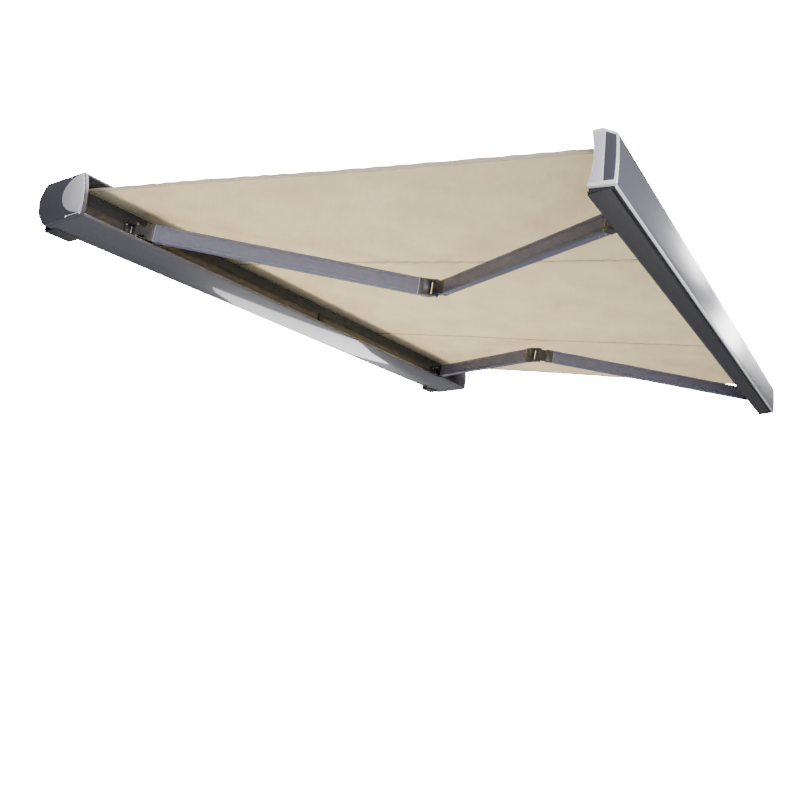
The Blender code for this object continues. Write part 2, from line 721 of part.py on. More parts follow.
def build_front_bar():
    wrist = on_slope(OPEN_REACH, 0.0, -SHOULDER_X)
    carriage = axis_empty("left_wrist_axis", wrist)

    def in_carriage(y, z, x):
        return on_bar(y, z, x) - wrist

    face = bow(
        (BAR_FRONT_TOP[0] + BAR_TOP_STEP, BAR_FRONT_TOP[1] - BAR_TOP_JOINT),
        (BAR_FRONT_BOTTOM[0], BAR_FRONT_BOTTOM[1] + BAR_SKIN), BAR_BULGE,
    )
    place_object(
        "front_bar", prism("front_bar", band(face, BAR_SKIN), -BAR_HALF, BAR_HALF, in_carriage),
        POWDER, carriage,
    )
    top_path = [(BAR_INNER_TOP[0], BAR_INNER_TOP[1] - BAR_LIP), BAR_INNER_TOP, BAR_PEAK, BAR_FRONT_TOP]
    place_object(
        "front_bar_top", prism("front_bar_top", band(top_path, BAR_SKIN), -BAR_HALF, BAR_HALF, in_carriage),
        POWDER, carriage,
    )
    floor_path = [
        (-0.394, -0.0930), (-0.381, -0.0930), (-0.381, -0.1035), BAR_FLOOR_EDGE,
        (BAR_FLOOR_EDGE[0], BAR_FLOOR_EDGE[1] + 0.014),
    ]
    place_object(
        "front_bar_floor",
        prism("front_bar_floor", band(floor_path, 0.003), -BAR_HALF, BAR_HALF, in_carriage),
        POWDER, carriage,
    )
    strip = [(-0.4020, -0.0962), (-0.3940, -0.0962), (-0.3940, -0.1023), (-0.4020, -0.1023)]
    place_object(
        "trim_strip", prism("trim_strip", strip, -BAR_HALF, BAR_HALF, in_carriage), CHROME, carriage
    )
    seal_y = BAR_INNER_TOP[0] + GAP
    seal = [(seal_y, 0.0858), (seal_y + 0.006, 0.0864), (seal_y + 0.006, 0.0900), (seal_y, 0.0912)]
    place_object(
        "seal_strip", prism("seal_strip", seal, -BAR_HALF, BAR_HALF, in_carriage), RUBBER, carriage
    )
    build_canopy_rail(carriage, wrist)
    for side, sign in (("left", -1.0), ("right", 1.0)):
        place_object(
            f"{side}_bar_cap",
            prism(f"{side}_bar_cap", bar_outline(), sign * (BAR_HALF + GAP), sign * HALF, in_carriage),
            CHROME, carriage,
        )


def build_canopy_rail(carriage, wrist):
    """A grooved rail under the bar's top wall holds the cord in the cloth's front hem."""
    reach = OPEN_REACH - FOLDED_REACH
    centre_h = CLOTH_H + CLOTH_RISE + CLOTH_THICK / 2.0 + 0.0003

    def on_rail(s, h, x):
        return on_slope(s + RAIL_SLOPE_PLACE + reach, h + centre_h, x) - wrist

    ring = []
    for radius, start, end in ((0.0068, 150.0, -150.0), (0.0045, -152.0, 152.0)):
        for i in range(13):
            turn = math.radians(start + (end - start) * i / 12.0)
            ring.append((radius * math.cos(turn), radius * math.sin(turn)))
    rail = place_object(
        "canopy_rail", prism("canopy_rail", ring, -BAR_HALF, BAR_HALF, on_rail), DARK_METAL, carriage
    )
    web = [(-0.0020, 0.0052), (0.0020, 0.0052), (0.0020, 0.0085), (-0.0020, 0.0085)]
    combine(rail, prism("web", web, -BAR_HALF, BAR_HALF, on_rail), "UNION")
    hem_cord = prism("hem_cord", circle(KEDER_RADIUS, 14), -CLOTH_HALF, CLOTH_HALF, on_rail)
    place_object("hem_cord", smooth(hem_cord), BLACK_PLASTIC, carriage)


def main():
    clear_scene()
    build_cassette()
    build_wall_brackets()
    build_carrier()
    build_roller_supports()
    build_roller()
    build_canopy()
    build_front_bar()
    for side, sign in (("left", -1.0), ("right", 1.0)):
        build_arm(side, sign)
        build_pivot_bracket(
            side, sign, "shoulder", on_slope(0.0, 0.0, sign * SHOULDER_X), SHOULDER_EAR_DEPTHS
        )
        build_pivot_bracket(
            side, sign, "wrist", on_slope(OPEN_REACH, 0.0, sign * SHOULDER_X), WRIST_EAR_DEPTHS
        )


main()
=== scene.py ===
"""Folding arm awning in a full cassette, drawn out: the finish of every piece.

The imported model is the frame. Each section below makes or finishes one group of pieces, in
the order in which the awning is put together on the wall.
"""
import json
import math

import bmesh
import bpy
from mathutils import Matrix, Vector


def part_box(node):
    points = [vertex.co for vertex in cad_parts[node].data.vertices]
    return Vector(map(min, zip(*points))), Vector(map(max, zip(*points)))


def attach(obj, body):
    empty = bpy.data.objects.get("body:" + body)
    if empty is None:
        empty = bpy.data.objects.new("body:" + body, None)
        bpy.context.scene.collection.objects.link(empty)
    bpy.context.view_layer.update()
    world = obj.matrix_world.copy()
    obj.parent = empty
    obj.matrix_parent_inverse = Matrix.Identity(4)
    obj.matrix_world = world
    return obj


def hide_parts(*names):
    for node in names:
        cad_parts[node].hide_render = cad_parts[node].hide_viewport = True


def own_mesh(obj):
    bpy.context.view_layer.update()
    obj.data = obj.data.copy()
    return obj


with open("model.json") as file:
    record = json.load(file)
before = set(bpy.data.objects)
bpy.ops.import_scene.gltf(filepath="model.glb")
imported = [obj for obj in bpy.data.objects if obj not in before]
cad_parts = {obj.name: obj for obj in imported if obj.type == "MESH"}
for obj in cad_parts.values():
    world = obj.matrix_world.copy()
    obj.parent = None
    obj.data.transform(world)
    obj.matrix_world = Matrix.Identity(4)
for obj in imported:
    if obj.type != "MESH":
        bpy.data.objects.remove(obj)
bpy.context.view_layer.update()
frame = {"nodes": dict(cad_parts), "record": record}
joints = {joint["name"]: joint for joint in frame["record"]["behaviour"]["joints"]}
rest_material_slots = {part["node"]: part["material_slot"] for part in frame["record"]["subparts"]}
body_of_node = {
    node: body for body, nodes in frame["record"]["behaviour"]["bodies"].items() for node in nodes
}

# ---- Camera, lights and floor ----
# The awning hangs high on a wall and is seen from below, off its left end. Strong light from
# above comes through the cloth; tall panels on the right draw the highlights in the paint.

camera_data = bpy.data.cameras.new("camera")
camera_data.lens = 38.14
camera_data.sensor_width = 36.0
camera = bpy.data.objects.new("camera", camera_data)
bpy.context.collection.objects.link(camera)
camera.location = (-4.355, -3.278, -1.719)
camera.rotation_euler = Vector((0.850, 0.482, 0.213)).to_track_quat("-Z", "Y").to_euler()
bpy.context.scene.camera = camera


def colour(hex_code):
    """Turn an sRGB hex value into a linear colour."""
    channels = []
    for i in (0, 2, 4):
        value = int(hex_code[i:i + 2], 16) / 255.0
        channels.append(value / 12.92 if value <= 0.04045 else ((value + 0.055) / 1.055) ** 2.4)
    return (*channels, 1.0)


def node(tree, kind, settings=(), links=()):
    """Add one shader node, give its sockets values and link its inputs."""
    made = tree.nodes.new(kind)
    for key, value in dict(settings).items():
        if isinstance(key, str) and hasattr(made, key):
            setattr(made, key, value)
        else:
            made.inputs[key].default_value = value
    for key, source in dict(links).items():
        tree.links.new(source, made.inputs[key])
    return made


def finish_of(name, base, roughness, metallic=0.0, **sockets):
    """Start a Principled material; returns it with its tree, its shader and object coordinates."""
    made = bpy.data.materials.new(name)
    made.use_nodes = True
    tree = made.node_tree
    shader = tree.nodes["Principled BSDF"]
    shader.inputs["Base Color"].default_value = base
    shader.inputs["Roughness"].default_value = roughness
    shader.inputs["Metallic"].default_value = metallic
    for key, value in sockets.items():
        shader.inputs[key.replace("_", " ")].default_value = value
    where = tree.nodes.new("ShaderNodeTexCoord").outputs["Object"]
    return made, tree, shader, where


def area_light(name, place, aim, size, power, roll=0.0, tint="ffffff"):
    """Hang one rectangular soft light, point it and turn it about its own beam."""
    data = bpy.data.lights.new(name, "AREA")
    data.shape = "RECTANGLE"
    data.size, data.size_y = size
    data.energy = power
    data.color = colour(tint)[:3]
    light = bpy.data.objects.new(name, data)
    bpy.context.collection.objects.link(light)
    light.location = place
    turn = (Vector(aim) - Vector(place)).to_track_quat("-Z", "Y").to_matrix()
    light.rotation_euler = (turn @ Matrix.Rotation(math.radians(roll), 3, "Z")).to_euler()
    light.visible_camera = False
    return light


area_light("front_fill", (-5.5, -6.0, -1.2), (-0.5, -1.0, -0.2), (4.0, 3.0), 560.0)
area_light("low_fill", (-1.0, -1.8, -4.6), (-0.3, -1.2, 0.0), (6.0, 4.0), 95.0)
area_light("bar_highlight", (7.0, -3.95, 1.3), (0.1, -2.65, -0.45), (2.6, 0.75), 85.0, 36.0)
area_light("bar_glint", (7.0, -5.1, 2.85), (-1.5, -2.65, -0.45), (2.6, 0.9), 110.0, 36.0)
area_light("shell_highlight", (4.2, 3.0, -1.75), (4.2, -1.0, -1.75), (4.2, 1.4), 95.0)
area_light("top_soft", (-0.1, -1.1, 1.3), (-0.1, -1.2, -0.2), (4.6, 3.0), 400.0, tint="fff7ea")

world = bpy.data.worlds.new("studio")
bpy.context.scene.world = world
world.use_nodes = True
sky = world.node_tree
seen = node(sky, "ShaderNodeLightPath").outputs["Is Camera Ray"]
ambient = node(sky, "ShaderNodeBackground", {"Color": colour("dfe1e8"), "Strength": 0.26})
backdrop = node(sky, "ShaderNodeBackground", {"Color": colour("ffffff"), "Strength": 40.0})
mixed = node(
    sky, "ShaderNodeMixShader", {}, {0: seen, 1: ambient.outputs[0], 2: backdrop.outputs[0]}
)
sky.links.new(mixed.outputs[0], sky.nodes["World Output"].inputs["Surface"])

FLOOR_Z = -6.5
FLOOR_RADIUS = 11.0
bm = bmesh.new()
bmesh.ops.create_circle(bm, cap_ends=True, segments=96, radius=FLOOR_RADIUS)
bmesh.ops.translate(bm, verts=bm.verts, vec=(0.0, -1.0, FLOOR_Z))
floor_mesh = bpy.data.meshes.new("studio_floor")
bm.to_mesh(floor_mesh)
bm.free()
studio_floor = bpy.data.objects.new("studio_floor", floor_mesh)
bpy.context.collection.objects.link(studio_floor)
floor_paint, _, _, _ = finish_of("floor_paint", colour("f2f2f3"), 0.9)
floor_mesh.materials.append(floor_paint)

# ---- Cassette shell and top cover ----
# Two aluminium extrusions, 4 mm thick, that close round the roller. They are pretreated and
# powder coated slate grey: satin, with a very fine orange peel that breaks up reflections.

PEEL_MM = 1.6


def noise(tree, where, millimetres, detail=2.0):
    """Give a noise whose grain has a real size."""
    return node(
        tree, "ShaderNodeTexNoise", {"Scale": 1000.0 / millimetres, "Detail": detail}, {"Vector": where}
    ).outputs["Fac"]


def spread(tree, value, low, high):
    """Map the middle of a noise onto a range."""
    return node(
        tree, "ShaderNodeMapRange", {"From Min": 0.3, "From Max": 0.7, "To Min": low, "To Max": high},
        {"Value": value},
    ).outputs["Result"]


def blend(tree, factor, first, second):
    """Mix two colours, each a value or a socket."""
    made = node(tree, "ShaderNodeMix", {"data_type": "RGBA"}, {0: factor})
    for index, source in ((6, first), (7, second)):
        if isinstance(source, bpy.types.NodeSocket):
            tree.links.new(source, made.inputs[index])
        else:
            made.inputs[index].default_value = source
    return made.outputs[2]


def raise_grain(tree, shader, height, strength, millimetres):
    """Turn a height into surface relief."""
    bump = node(
        tree, "ShaderNodeBump", {"Strength": strength, "Distance": millimetres / 1000.0},
        {"Height": height},
    )
    tree.links.new(bump.outputs["Normal"], shader.inputs["Normal"])


def grained(name, dark, light, rough, metallic, grain_mm, strength, **sockets):
    """Make a finish with a fine grain, a faint cloudiness and an uneven gloss."""
    made, tree, shader, where = finish_of(name, dark, rough[0], metallic, **sockets)
    cloud = noise(tree, where, 450.0, 3.0)
    tree.links.new(blend(tree, cloud, dark, light), shader.inputs["Base Color"])
    tree.links.new(spread(tree, cloud, *rough), shader.inputs["Roughness"])
    raise_grain(tree, shader, noise(tree, where, grain_mm, 3.0), strength, 0.4)
    return made


powder_coat = grained(
    "slate_satin_powder_coat", colour("46464f"), colour("4d4d57"), (0.36, 0.44), 0.1, PEEL_MM, 0.04,
    Coat_Weight=0.9, Coat_Roughness=0.045,
)

bar_coat = grained(
    "slate_pearl_powder_coat", colour("6a6977"), colour("72717f"), (0.34, 0.40), 0.25, PEEL_MM, 0.03,
    Coat_Weight=0.9, Coat_Roughness=0.20,
)
matt_coat = grained(
    "slate_matt_powder_coat", colour("585a70"), colour("5f6178"), (0.5, 0.6), 0.0, PEEL_MM, 0.05,
    Coat_Weight=0.15, Coat_Roughness=0.3,
)


def keep(bm, name, material, ride_on, slot, *stands_for, sharp=32.0):
    """Make a bmesh a finished piece that rides on a body and stands for CAD nodes."""
    bmesh.ops.recalc_face_normals(bm, faces=bm.faces)
    mesh = bpy.data.meshes.new(name)
    bm.to_mesh(mesh)
    bm.free()
    mesh.shade_smooth()
    mesh.set_sharp_from_angle(angle=math.radians(sharp))
    mesh.materials.append(material)
    piece = bpy.data.objects.new(name, mesh)
    bpy.context.collection.objects.link(piece)
    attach(piece, ride_on)
    if stands_for:
        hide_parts(*stands_for)
    return piece


def ease_edges(bm, width, angle=28.0, segments=2):
    """Round every edge that is sharper than an angle."""
    limit = math.radians(angle)
    edges = [e for e in bm.edges if len(e.link_faces) == 2 and e.calc_face_angle() > limit]
    bmesh.ops.bevel(
        bm, geom=edges, offset=width, offset_type="OFFSET", segments=segments, profile=0.5,
        affect="EDGES", clamp_overlap=True, material=-1,
    )


def eased(cad_node, material, width=0.0012, segments=2):
    """Copy a CAD node, merge its triangles and round its edges."""
    bm = bmesh.new()
    bm.from_mesh(frame["nodes"][cad_node].data)
    bmesh.ops.remove_doubles(bm, verts=bm.verts, dist=0.00002)
    bmesh.ops.dissolve_limit(
        bm, angle_limit=math.radians(1.0), verts=bm.verts, edges=bm.edges, use_dissolve_boundaries=False
    )
    ease_edges(bm, width, segments=segments)
    return keep(
        bm, cad_node + "_finished", material, body_of_node[cad_node],
        rest_material_slots[cad_node], cad_node,
    )


for part in ("cassette_shell", "top_cover"):
    eased(part, powder_coat, 0.0008)

# ---- End caps ----
# Die-cast aluminium lids over the ends of the cassette, painted a shade darker. A silver
# half-oval plate and a slim double bezel follow the mouth; pan-head screws hold the lid.

cap_paint = grained(
    "dark_cap_paint", colour("44444f"), colour("4a4a56"), (0.36, 0.42), 0.1, 1.1, 0.08,
    Coat_Weight=0.5, Coat_Roughness=0.2,
)
silver_paint = grained(
    "silver_lacquer", colour("cdcdd9"), colour("d4d4df"), (0.30, 0.34), 0.1, 0.6, 0.02,
    Coat_Weight=0.4, Coat_Roughness=0.12,
)
bright_metal = grained(
    "bright_anodised_aluminium", colour("e9e9ef"), colour("efeff3"), (0.28, 0.36), 0.1, 0.8, 0.02
)
zinc_plate = grained(
    "bright_zinc_plate", colour("b4b6b9"), colour("caccce"), (0.24, 0.36), 1.0, 0.8, 0.05
)


def box_between(bm, start, end, side, up):
    """Add a box from one point to another; side and up are its half sizes across."""
    corners = [start + a * side + b * up for a, b in ((-1, -1), (1, -1), (1, 1), (-1, 1))]
    near = [bm.verts.new(corner) for corner in corners]
    far = [bm.verts.new(corner + end - start) for corner in corners]
    bm.faces.new(near)
    bm.faces.new(far[::-1])
    for i in range(4):
        j = (i + 1) % 4
        bm.faces.new((near[i], far[i], far[j], near[j]))


def ribbon(bm, path, half_wide, x_start, x_end, closed=False):
    """Add a raised strip along a path of (y, z) points on an end face."""
    points = [Vector(p) for p in path]
    count = len(points)
    rings = []
    for i, here in enumerate(points):
        before = points[i - 1] if closed or i else here
        after = points[(i + 1) % count] if closed or i < count - 1 else here
        along = (after - before).normalized()
        across = Vector((-along.y, along.x)) * half_wide
        ring = []
        for offset, x in ((-across, x_start), (across, x_start), (across, x_end), (-across, x_end)):
            ring.append(bm.verts.new((x, here.x + offset.x, here.y + offset.y)))
        rings.append(ring)
    for i in range(count if closed else count - 1):
        here, ahead = rings[i], rings[(i + 1) % count]
        for k in range(4):
            m = (k + 1) % 4
            bm.faces.new((here[k], ahead[k], ahead[m], here[m]))
    if not closed:
        bm.faces.new(rings[0])
        bm.faces.new(rings[-1][::-1])


def pan_head(bm, centre, axis, radius, height):
    """Add a domed screw head with a round drive recess, standing on a face."""
    profile = [
        (0.0, 0.5), (0.42, 0.5), (0.45, 0.98), (0.62, 0.97), (0.85, 0.78), (1.0, 0.35), (1.0, 0.0),
        (0.0, 0.0),
    ]
    turn = Vector((0.0, 0.0, 1.0)).rotation_difference(axis).to_matrix()
    verts = [bm.verts.new(centre + turn @ Vector((r * radius, 0.0, z * height))) for r, z in profile]
    edges = [bm.edges.new(pair) for pair in zip(verts, verts[1:])]
    bmesh.ops.spin(
        bm, geom=verts + edges, cent=centre, axis=axis, angle=math.tau, steps=16, use_merge=True
    )
    bmesh.ops.remove_doubles(bm, verts=bm.verts, dist=0.00002)


CAP_SCREWS = ((-0.057, 0.087), (-0.225, 0.093), (-0.020, -0.050), (-0.205, -0.094), (-0.296, -0.096))
END_FACE = 2.0
TRIM_FACE = 2.0024
MOUTH_FOOT = -0.2994
MOUTH_LEAN = 0.007
MOUTH_BULGE = 0.014
MOUTH_STEPS = 12
low, high = (Vector(corner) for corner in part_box("left_end_cap"))
mouth = []
for i in range(MOUTH_STEPS + 1):
    t = i / MOUTH_STEPS
    y = MOUTH_FOOT - MOUTH_LEAN * t - 4.0 * MOUTH_BULGE * t * (1.0 - t)
    mouth.append((y, low.z + 0.002 + (high.z - low.z - 0.004) * t))
inner = [(y + 0.0062, z * 0.93 + 0.001) for y, z in mouth]
foot_z = inner[0][1] - 0.0015
foot = [(CAP_SCREWS[3][0] - 0.005, foot_z), (inner[0][0] - 0.003, foot_z)]
for side, sign in (("left", -1.0), ("right", 1.0)):
    eased(f"{side}_end_cap", cap_paint, 0.003, 3)
    eased(f"{side}_end_trim", silver_paint, 0.0008, 2)
    face = sign * END_FACE
    trim_face = sign * TRIM_FACE
    bm = bmesh.new()
    ribbon(bm, mouth, 0.0012, face, face + sign * 0.0020)
    ribbon(bm, inner, 0.0010, face, trim_face + sign * 0.0012)
    ribbon(bm, foot, 0.0012, face, trim_face + sign * 0.0008)
    ease_edges(bm, 0.0004)
    keep(bm, f"{side}_mouth_bezel", bright_metal, "cassette", "silver_trim")
    bm = bmesh.new()
    for y, z in CAP_SCREWS:
        pan_head(bm, Vector((face, y, z)), Vector((sign, 0.0, 0.0)), 0.0052, 0.0026)
    keep(bm, f"{side}_cap_screws", bright_metal, "cassette", "zinc_plated_steel")

# ---- Wall brackets, arm carrier and roller ----
# Black-painted castings and a rolled carrier profile inside the mouth; zinc-plated bolts. The
# galvanised roller tube, its motor and plastic fittings show only from the side of the wall.

black_casting = grained(
    "black_satin_casting", colour("232326"), colour("2a2a2e"), (0.42, 0.52), 0.05, 2.2, 0.16,
    Coat_Weight=0.35, Coat_Roughness=0.25,
)
black_plastic = grained(
    "moulded_black_plastic", colour("1a1a1b"), colour("202021"), (0.46, 0.58), 0.0, 1.4, 0.10
)
black_rubber = grained("black_rubber", colour("141414"), colour("1b1b1b"), (0.74, 0.86), 0.0, 0.9, 0.12)
dull_steel = grained(
    "galvanised_steel", colour("8e9093"), colour("a3a5a8"), (0.36, 0.50), 0.9, 6.0, 0.06
)

finish_by_slot = {
    "slate_powder_coat": matt_coat,
    "zinc_plated_steel": zinc_plate,
    "black_casting": black_casting,
    "black_plastic": black_plastic,
    "black_rubber": black_rubber,
    "galvanised_steel": dull_steel,
}
hung_on_wall = [name for name in frame["nodes"] if "wall_" in name]
inside_cassette = [
    "arm_carrier", "arm_cradle", "cable_grommet", "idler_bracket", "motor_bracket", "motor",
    "roller_tube", "idler_plug", "drive_crown", "motor_ring",
]
for part in hung_on_wall + inside_cassette:
    eased(part, finish_by_slot[rest_material_slots[part]], 0.0010)

# ---- Shoulder and wrist brackets ----
# Cast brackets hug the carrier and the bar; each holds a pin between two ears. Cap-head bolts
# fix the shoulder bracket on its outboard side and a bright set screw trims its pitch.

normal = Vector(joints["fold"]["axis"])
slope = Vector((1.0, 0.0, 0.0)).cross(normal)
pivots = {
    "left": [Vector(joints[name]["pos_m"]) for name in ("fold", "left_elbow", "left_wrist")],
    "right": [Vector(joints[name]["pos_m"]) for name in ("right_shoulder", "right_elbow")],
}
left_wrist = pivots["left"][2]
pivots["right"].append(Vector((-left_wrist.x, left_wrist.y, left_wrist.z)))
CARRIER_MIDDLE = (-0.106, -0.010)
BOLT_RADIUS = 0.0822
for side, sign in (("left", -1.0), ("right", 1.0)):
    for joint in ("shoulder", "wrist"):
        eased(f"{side}_{joint}_bracket", black_casting, 0.0016, 3)
        eased(f"{side}_{joint}_pin", zinc_plate, 0.0006)
    shoulder = pivots[side][0]
    bm = bmesh.new()
    for lean in (18.0, -22.0):
        spoke = slope * math.cos(math.radians(lean)) + normal * math.sin(math.radians(lean))
        middle = shoulder + slope * CARRIER_MIDDLE[0] + normal * CARRIER_MIDDLE[1]
        for along in (0.0430, -0.0430):
            place = middle + spoke * BOLT_RADIUS + Vector((sign * along, 0.0, 0.0))
            pan_head(bm, place, spoke, 0.0058, 0.0060)
    keep(bm, f"{side}_shoulder_bolts", zinc_plate, "cassette", "zinc_plated_steel")
    bm = bmesh.new()
    foot = shoulder + Vector((sign * 0.021, 0.0, 0.0)) + slope * -0.0145 - normal * 0.0215
    pan_head(bm, foot + normal * 0.0010, normal, 0.0030, 0.0370)
    for turn in range(9):
        pan_head(bm, foot + normal * (0.004 + 0.0036 * turn), normal, 0.0036, 0.0020)
    keep(bm, f"{side}_pitch_screw", zinc_plate, "cassette", "zinc_plated_steel")

# ---- Folding arms ----
# Each arm is a rectangular extrusion with a shallow groove near its lower and upper edge, plugged
# at both ends by a ribbed casting. The spring and its cable run inside the rear arm.

GROOVE_DEEP = 0.0012
GROOVE_WIDE = 0.0030
GROOVE_PLACE = 0.016
ARM_HALF_THICK = 0.018
REAR_ARM_HALF_HIGH = 0.0435
FOREARM_HALF_HIGH = 0.0390
TUBE_SCREWS = (0.014, 0.052)


def arm_section(half_thick, half_high, radius=0.005):
    """Give the outline of an arm: rounded corners and two grooves on each side."""
    edge = half_thick - GROOVE_DEEP
    low = half_high - GROOVE_PLACE - GROOVE_WIDE / 2.0
    quarter = [
        (half_thick, low), (edge, low), (edge, low + 0.75 * GROOVE_WIDE),
        (half_thick, low + GROOVE_WIDE),
    ]
    corner = Vector((half_thick - radius, half_high - radius))
    for step in range(5):
        turn = math.radians(22.5 * step)
        quarter.append((corner.x + radius * math.cos(turn), corner.y + radius * math.sin(turn)))
    half = quarter + [(-v, h) for v, h in reversed(quarter)]
    return half + [(-v, -h) for v, h in half]


def tube_ends(cad_node, along):
    """Find the middles of the two ends of an arm tube."""
    corners = [vert.co.copy() for vert in frame["nodes"][cad_node].data.vertices]
    reach = [corner.dot(along) for corner in corners]
    middles = []
    for limit in (min(reach), max(reach)):
        ring = [c for c, r in zip(corners, reach) if abs(r - limit) < 0.03]
        middles.append(sum(ring, Vector()) / len(ring))
    return middles


def build_tube(cad_node, along, half_thick, half_high):
    """Sweep the arm's section from end to end, close its cut ends and add screws and a collar at each
    end.
    """
    start, end = tube_ends(cad_node, along)
    across = normal.cross((end - start).normalized())
    outline = arm_section(half_thick, half_high)
    bm = bmesh.new()
    rings = []
    for place in (start, end):
        rings.append([bm.verts.new(place + across * v + normal * h) for v, h in outline])
    for i in range(len(outline)):
        j = (i + 1) % len(outline)
        bm.faces.new((rings[0][i], rings[0][j], rings[1][j], rings[1][i]))
    bm.faces.new(rings[0])
    bm.faces.new(rings[1][::-1])
    keep(
        bm, cad_node + "_finished", matt_coat, body_of_node[cad_node], "slate_powder_coat", cad_node,
        sharp=26.0,
    )
    run = (end - start).normalized()
    bm = bmesh.new()
    for place, way in ((start, run), (end, -run)):
        for inset in TUBE_SCREWS:
            pan_head(bm, place + way * inset - normal * half_high, -normal, 0.0038, 0.0018)
            pan_head(bm, place + way * inset + normal * half_high, normal, 0.0038, 0.0018)
    body = body_of_node[cad_node]
    keep(bm, cad_node.replace("tube", "screws"), zinc_plate, body, "zinc_plated_steel")
    bm = bmesh.new()
    for place, way in ((start, run), (end, -run)):
        box_between(
            bm, place - way * 0.0012, place + way * 0.0012, across * (half_thick + 0.0007),
            normal * (half_high + 0.0007),
        )
    ease_edges(bm, 0.0004)
    keep(bm, cad_node.replace("tube", "collars"), dull_steel, body, "galvanised_steel")


for side, sign in (("left", -1.0), ("right", 1.0)):
    shoulder, elbow, wrist = pivots[side]
    rear_way = (elbow - shoulder).normalized()
    build_tube(f"{side}_rear_arm_tube", rear_way, ARM_HALF_THICK, REAR_ARM_HALF_HIGH)
    fore_way = (wrist - elbow).normalized()
    build_tube(f"{side}_forearm_tube", fore_way, ARM_HALF_THICK, FOREARM_HALF_HIGH)
    for part in ("shoulder_knuckle", "elbow_fork", "elbow_tongue", "wrist_knuckle"):
        eased(f"{side}_{part}", black_casting, 0.0018, 3)
    eased(f"{side}_elbow_pin", zinc_plate, 0.0006)
    eased(f"{side}_arm_spring", dull_steel, 0.0008)
    eased(f"{side}_arm_cable", dull_steel, 0.0004)

# ---- Front bar and its caps ----
# A face and a clip-on top in pearl slate over a charcoal floor, with a bright strip along the
# lower front edge and a rubber seal. Bright end caps carry two panels; dark plugs close the bar.

for part in ("front_bar", "front_bar_top"):
    eased(part, bar_coat, 0.0006)
charcoal_coat = grained(
    "charcoal_powder_coat", colour("26252b"), colour("2d2c33"), (0.45, 0.55), 0.0, PEEL_MM, 0.04
)
eased("front_bar_floor", charcoal_coat, 0.0006)
eased("trim_strip", bright_metal, 0.0004)
for part in ("seal_strip", "canopy_rail", "hem_cord"):
    eased(part, finish_by_slot[rest_material_slots[part]], 0.0004)

smoked_panel = grained(
    "smoked_panel_lacquer", colour("5a5964"), colour("646370"), (0.10, 0.16), 0.4, 2.0, 0.02,
    Coat_Weight=1.0, Coat_Roughness=0.04,
)


CAP_LEAN = 0.108


def side_outline(cad_node, x):
    """Give the outline of an end face in (y, z), in order round its middle."""
    ring = {
        (round(v.co.y, 5), round(v.co.z, 5)) for v in frame["nodes"][cad_node].data.vertices
        if abs(v.co.x - x) < 0.0005
    }
    middle = sum((Vector(p) for p in ring), Vector((0.0, 0.0))) / len(ring)
    return sorted(ring, key=lambda p: math.atan2(p[1] - middle.y, p[0] - middle.x)), middle


def clipped(outline, limit, way):
    """Keep the part of an outline on one side of a plane that leans with the bar's face."""
    kept = []
    for i, here in enumerate(outline):
        before = outline[i - 1]
        reach = here[0] + CAP_LEAN * here[1] - limit
        reach_before = before[0] + CAP_LEAN * before[1] - limit
        if (reach * way > 0.0) != (reach_before * way > 0.0):
            t = reach_before / (reach_before - reach)
            kept.append(tuple(b + (h - b) * t for b, h in zip(before, here)))
        if reach * way > 0.0:
            kept.append(here)
    return kept


def plate(bm, outline, x_start, x_end):
    """Add a flat plate with an outline in (y, z)."""
    ring = [bm.verts.new((x_start, y, z)) for y, z in outline]
    grown = bmesh.ops.extrude_face_region(bm, geom=[bm.faces.new(ring)])["geom"]
    far = [item for item in grown if isinstance(item, bmesh.types.BMVert)]
    bmesh.ops.translate(bm, verts=far, vec=(x_end - x_start, 0.0, 0.0))


for side, sign in (("left", -1.0), ("right", 1.0)):
    eased(f"{side}_bar_cap", bright_metal, 0.0022, 3)
    face = sign * 2.0
    outline, middle = side_outline(f"{side}_bar_cap", face)
    panel = [tuple(middle + (Vector(p) - middle) * 0.88) for p in outline]
    split = middle.x + CAP_LEAN * middle.y + 0.010
    bm = bmesh.new()
    plate(bm, clipped(panel, split + 0.0016, 1.0), face, face + sign * 0.0014)
    ease_edges(bm, 0.0005)
    keep(bm, f"{side}_bar_cap_rear_panel", silver_paint, "front_bar", "silver_trim")
    bm = bmesh.new()
    plate(bm, clipped(panel, split - 0.0016, -1.0), face, face + sign * 0.0014)
    ease_edges(bm, 0.0005)
    keep(bm, f"{side}_bar_cap_front_panel", smoked_panel, "front_bar", "dark_cap_paint")

plug_low, plug_high = (Vector(corner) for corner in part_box("front_bar_floor"))
for side, sign in (("left", -1.0), ("right", 1.0)):
    bm = bmesh.new()
    centre = Vector((0.0, (plug_low.y + plug_high.y) / 2.0, plug_low.z + 0.0155))
    box_between(
        bm, centre + Vector((sign * 1.966, 0.0, 0.0)), centre + Vector((sign * 1.977, 0.0, 0.0)),
        Vector((0.0, 0.0385, 0.0)), Vector((0.0, 0.0, 0.009)),
    )
    keep(bm, f"{side}_bar_end_plug", charcoal_coat, "front_bar", "black_plastic")

# ---- Canopy ----
# Solution-dyed acrylic canvas in three sewn widths with turned side hems. It leaves the roller
# at its top and its front hem is threaded into the bar; seams and hems pucker a little.

SEAMS = (-0.800, 0.770)
SEAM_HALF = 0.011
HEM = 0.036
STITCH_MM = 3.4
THREAD_MM = 1.3
SOFT_EDGE = 1.35
STITCH_HALF = 0.0005
low, high = (Vector(corner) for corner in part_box("canopy"))
back_edge = Vector((0.0, high.y, high.z))
cloth_way = Vector((0.0, low.y, low.z)) - back_edge
run = cloth_way.length
cloth_way.normalize()
cloth_up = Vector((0.0, cloth_way.z, -cloth_way.y))
half_width = high.x


